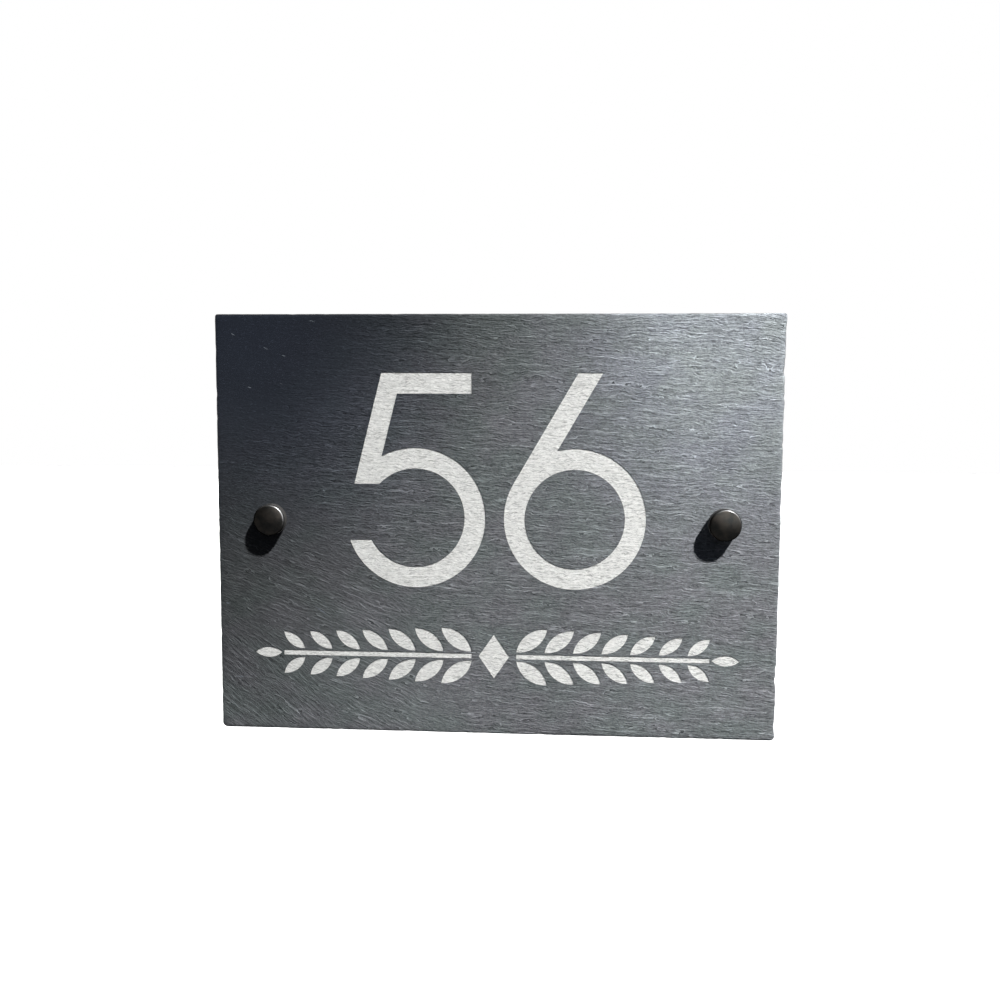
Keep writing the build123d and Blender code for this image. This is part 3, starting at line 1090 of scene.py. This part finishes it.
# barrel: a closed profile down the outside, across the wall face, and back up the screw's hole and the bore
def makeBarrel(name, node, side, form, material):
    low, high = solidBox(node)
    near, wall = low[1], high[1]
    outer = (high[0] - low[0]) / 2
    soft = form["chamfer"]
    profile = fineProfile([
        (outer - soft, near),
        (outer, near + soft),
        (outer, wall - soft),
        (outer - soft, wall),
        (form["screwHole"], wall),
        (form["screwHole"], wall - form["base"]),
        (form["bore"], wall - form["base"]),
        (form["bore"], near),
    ], form["rowStep"], True)
    points, faces = spunSurface(*profileRows(profile, form["steps"]), fixingAxis(side), True)
    piece = makePiece(name, points, faces, form["crease"])
    dress(piece, node, material)


screwForm = {
    "steps": 64,
    "domeRows": 28,
    "headRadius": 3.2,
    "headHeight": 2.2,
    "rimShare": 1 / 3,  # share of the head's height that is straight
    "seatStep": 0.8,
    "neckRadius": 1.5,
    "threadRadius": 2.0,
    "threadHeight": 0.62,
    "threadPitch": 1.8,
    "pointLength": 5.0,
    "rowStep": 0.15,
    "recessWidth": 1.1,
    "recessLength": 3.6,
    "recessDepth": 1.2,
    "recessFlank": (-0.1, 0.05),  # where the wall of an arm starts and ends, from half its width
    "recessEnd": 0.35,  # length of the slope at its end
    "crease": 40,
}


# screw: a domed head with a cross sunk in it, a plain neck, and a thread that starts at the wall's face,
# where y is 0, and runs out at the point
def makeScrews(form, material):
    low, high = solidBox("wall_screws")
    top, tip = low[1], high[1]
    head = form["headRadius"]
    seat = top + form["headHeight"]
    rim = seat - form["headHeight"] * form["rimShare"]
    domeR = np.linspace(0, head, form["domeRows"])
    domeY = rim - (rim - top) * (1 - (domeR / head) ** 2)
    neckEnds = [(head, seat), (form["neckRadius"], seat), (form["neckRadius"], 0)]
    shankY = np.arange(0, tip, form["rowStep"])
    taper = np.minimum((tip - shankY) / form["pointLength"], 1)
    profile = np.concatenate([
        np.column_stack([domeR, domeY]),
        fineProfile(neckEnds, form["seatStep"]),
        np.column_stack([form["threadRadius"] * taper, shankY]),
        [(0, tip)],
    ])
    radius, depth = profileRows(profile, form["steps"])
    onShank = slice(-1 - len(shankY), -1)
    drop = threadDrop(shankY, form["steps"], form["threadPitch"], form["threadHeight"]) * taper[:, None]
    starting = ease(shankY, 0, form["threadPitch"])[:, None]
    core = (form["threadRadius"] - form["threadHeight"]) * taper[:, None]
    radius[onShank] = core * (1 - starting) + (radius[onShank] - drop) * starting
    turn = evenTurns(form["steps"])
    across = domeR[:, None] * np.cos(turn)
    upright = domeR[:, None] * np.sin(turn)
    halfWidth, halfLength = form["recessWidth"] / 2, form["recessLength"] / 2
    inside, outside = form["recessFlank"]

    # one arm of the cross, 0 to 1: deep within half its width and half its length
    def arm(sideways, endways):
        within = 1 - ease(np.abs(sideways), halfWidth + inside, halfWidth + outside)
        return within * (1 - ease(np.abs(endways), halfLength - form["recessEnd"], halfLength))

    cross = np.maximum(arm(across, upright), arm(upright, across))
    depth[: len(domeR)] += form["recessDepth"] * cross
    points, faces = spunPair(radius, depth)
    piece = makePiece("wallScrewPair", points, faces, form["crease"])
    dress(piece, "wall_screws", material)


capColours = {
    "base": (0.0036, 0.0037, 0.0036, 1),
    "stain": (0.0074, 0.0066, 0.0058, 1),  # browner patches
    "stainEdge": (0.32, 0.68),
    "worn": (0.040, 0.040, 0.040, 1),  # paler plate on the edge towards the light: a painted highlight
    "matt": (0.06, 0.058, 0.056, 1),  # the blasted side
    "mattShare": 0.8,
    "highlightSmudge": (0.4, 1.2),  # how strong the edge's painted highlight is, and how much more where it is smudged
    "mattSmudge": (0.5, 1.2),  # how far smudges and specks show on the blasted side
    "rim": (0.06, 0.06, 0.06, 1),  # tint of the reflection at a flat angle
    "gloss": 0.1,
    "roughness": 0.30,
    "roughnessBy": (0.14, 0.1, 0.25),  # smudges, lathe marks and the blasted side
    "smudges": ((3.5, 3.5, 3.5), 3.0, 5.0),  # patterns, as grain() takes them
    "specks": ((0.7, 0.7, 0.7), 2.0, 9.0),
    "mark": 0.22,  # width of one lathe mark
    "markDepth": 0.03,
    "bump": 0.12,
}
# the barrels have the same plate, paler, with no painted highlight on their edges
barrelColours = {
    **capColours,
    "base": (0.018, 0.017, 0.0165, 1),
    "stain": (0.028, 0.025, 0.0225, 1),
    "rim": (0.5, 0.5, 0.5, 1),
    "roughness": 0.38,
    "mark": 0.3,
    "bump": 0.2,
}


# dark plated metal, turned: marks run round the axis, so they vary with radius on a face and y on a side
def turnedMetal(name, look):
    material, tree = startMaterial(name)
    place = tree.place()
    axes = tree.node("SeparateXYZ", None, {0: place}, "X")
    offset = abs(axes) - float(fixingAxis("right")[0])
    radius = (offset * offset + axes.also("Z") * axes.also("Z")) ** 0.5
    sockets = {"W": radius + axes.also("Y"), "Scale": 1 / look["mark"], "Detail": 3.0}
    marks = tree.node("TexNoise", {"noise_dimensions": "1D"}, sockets)
    smudge = tree.grain(place, look["smudges"])
    specks = tree.grain(place, look["specks"])
    matt = tree.kept("matt")
    blasted = look["mattShare"] * matt
    plate = tree.blend(smudge.step(*look["stainEdge"]), look["base"], look["stain"])
    # the edge's painted highlight, stronger where smudged
    least, more = look["highlightSmudge"]
    colour = tree.blend(tree.kept("worn") * (least + more * smudge), plate, look["worn"])
    bySmudge, bySpeck = look["mattSmudge"]
    colour = tree.blend(blasted * (bySmudge * smudge + bySpeck * specks), colour, look["matt"])
    bySmudge, byMark, byMatt = look["roughnessBy"]
    rough = look["roughness"] + bySmudge * (smudge - 0.5) + byMark * (marks - 0.5) + byMatt * matt
    shade(tree, {
        "Base Color": colour,
        "Metallic": 1 - blasted,
        "Roughness": rough,
        "Specular IOR Level": look["gloss"],
        "Specular Tint": look["rim"],
        "Normal": tree.bump(marks, look["markDepth"], look["bump"]),
    })
    return material


# black moulded nylon
nylonColours = {
    "base": grey(0.012),
    "patch": grey(0.03),
    "patchEdge": (0.3, 0.8),
    "metallic": 0.0,
    "gloss": 0.5,
    "roughness": 0.48,
    "roughnessBy": (0.2, 0.0),  # patches and marks
    "patches": ((1.6, 1.6, 1.6), 3.0, 2.0),  # patterns, as grain() takes them
    "marks": ((0.12, 0.12, 0.12), 2.0, 4.0),
    "markDepth": 0.03,
    "bump": 0.25,
}
# zinc plate gone dull, with fine drawing marks
zincColours = {
    "base": (0.32, 0.32, 0.315, 1),
    "patch": (0.20, 0.20, 0.195, 1),
    "patchEdge": (0.35, 0.7),
    "metallic": 0.04,  # how much of it still mirrors like bare metal
    "gloss": 0.05,
    "roughness": 0.40,
    "roughnessBy": (0.3, 0.1),
    "patches": ((2.2, 4.0, 2.2), 4.0, 6.0),
    "marks": ((0.25, 1.4, 0.25), 2.0, 8.0),
    "markDepth": 0.05,
    "bump": 0.2,
}


# a mottled finish: base to patch by an S curve of one noise, a roughness that both noises change, fine marks
def mottledFinish(name, look):
    material, tree = startMaterial(name)
    place = tree.place()
    patches = tree.grain(place, look["patches"])
    marks = tree.grain(place, look["marks"])
    byPatch, byMark = look["roughnessBy"]
    shade(tree, {
        "Base Color": tree.blend(patches.step(*look["patchEdge"]), look["base"], look["patch"]),
        "Metallic": look["metallic"],
        "Roughness": look["roughness"] + byPatch * (patches - 0.5) + byMark * (marks - 0.5),
        "Specular IOR Level": look["gloss"],
        "Normal": tree.bump(marks, look["markDepth"], look["bump"]),
    })
    return material


makeCaps(capForm, turnedMetal("black plated cap", capColours))
makeScrews(screwForm, mottledFinish("zinc plate", zincColours))
barrelMetal = turnedMetal("black plated barrel", barrelColours)
nylon = mottledFinish("black nylon", nylonColours)
for side in fixingSides:
    makeWasher("frontRing." + side, "front_washer_" + side, side, washerForm, nylon)
    makeWasher("rearRing." + side, "rear_washer_" + side, side, washerForm, nylon)
    makeBarrel("standoff." + side, "standoff_barrel_" + side, side, barrelForm, barrelMetal)
